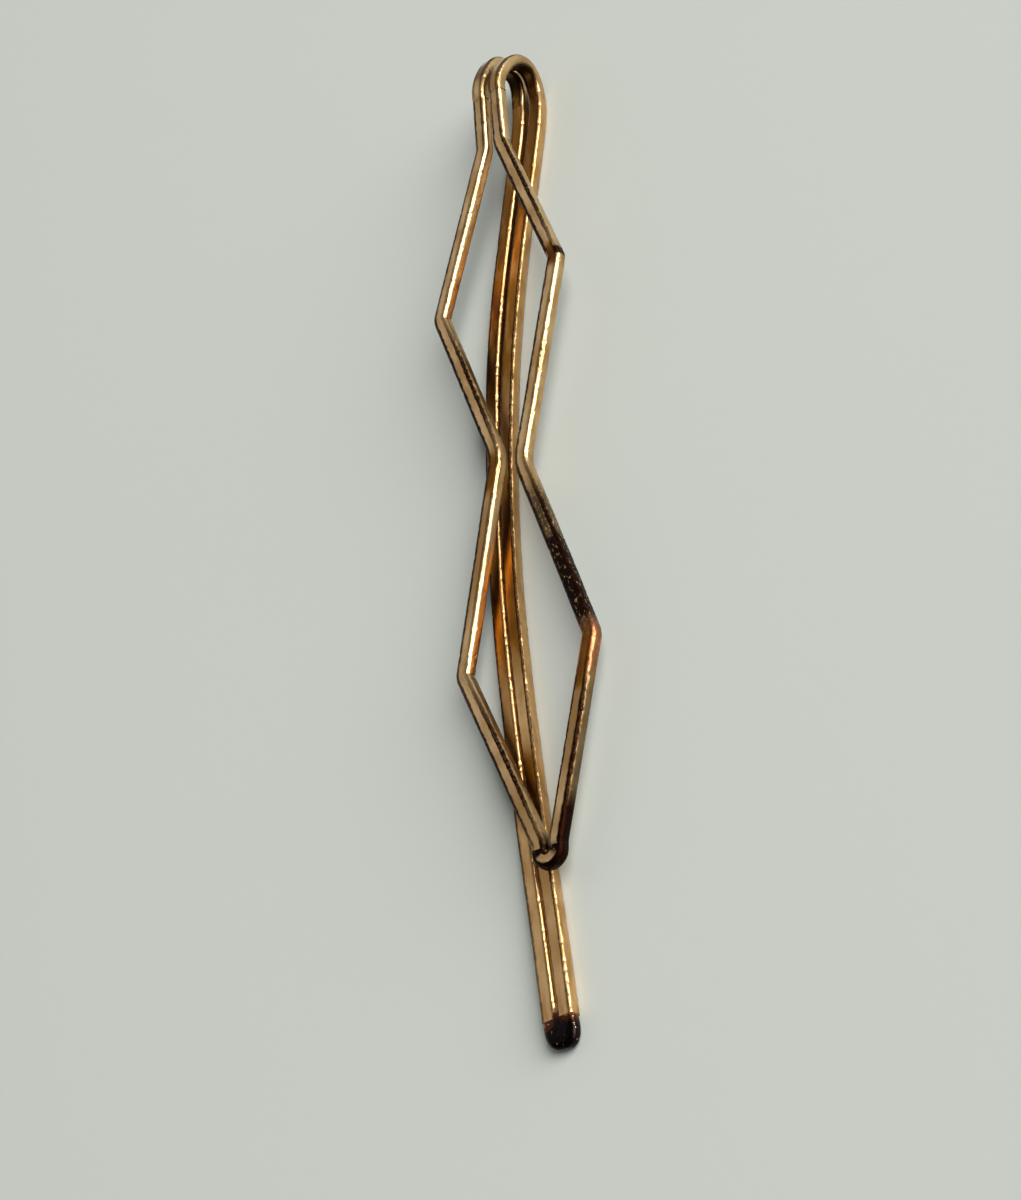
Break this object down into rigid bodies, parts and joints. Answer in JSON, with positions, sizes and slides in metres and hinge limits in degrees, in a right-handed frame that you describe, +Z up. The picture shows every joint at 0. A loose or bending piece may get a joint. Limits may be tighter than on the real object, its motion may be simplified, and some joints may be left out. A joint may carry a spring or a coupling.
{
  "type": "hairpin",
  "caption": "Sprung hair pin of flattened gilt wire, bent double at a looped spring, with an open zigzag upper leg over a straight lower leg and a rounded dark tip.",
  "frame": {"origin": "middle of the underside of the pin's bounding box", "axes": "+X across the pin, +Y along it towards the spring bend, +Z up from the flat lower leg"},
  "size_m": [0.0098, 0.0594, 0.0042],
  "materials": {
    "gilt_wire": "worn copper-toned gilt, polished flats with tarnish along the shoulders",
    "shaded_gilt": "worn copper-toned gilt with brown tarnish",
    "dark_tip": "smooth, nearly black tarnish with a thin worn rim"
  },
  "bodies": {
    "lower_leg": {"left_leg": "shaded_gilt", "right_leg": "shaded_gilt", "tip": "dark_tip", "left_bend": "gilt_wire", "right_bend": "gilt_wire"},
    "upper_leg": {"left_arm": "gilt_wire", "right_arm": "gilt_wire", "nose": "gilt_wire"}
  },
  "joints": [
    {"name": "bend_flex", "type": "hinge", "parent": "lower_leg", "child": "upper_leg", "pos_m": [0.00071, 0.02666, 0.00208], "axis": [-1, 0, 0], "range_deg": [0, 15], "stiffness_Nm_per_rad": 0.06, "deforming": ["left_bend", "right_bend"]}
  ]
}
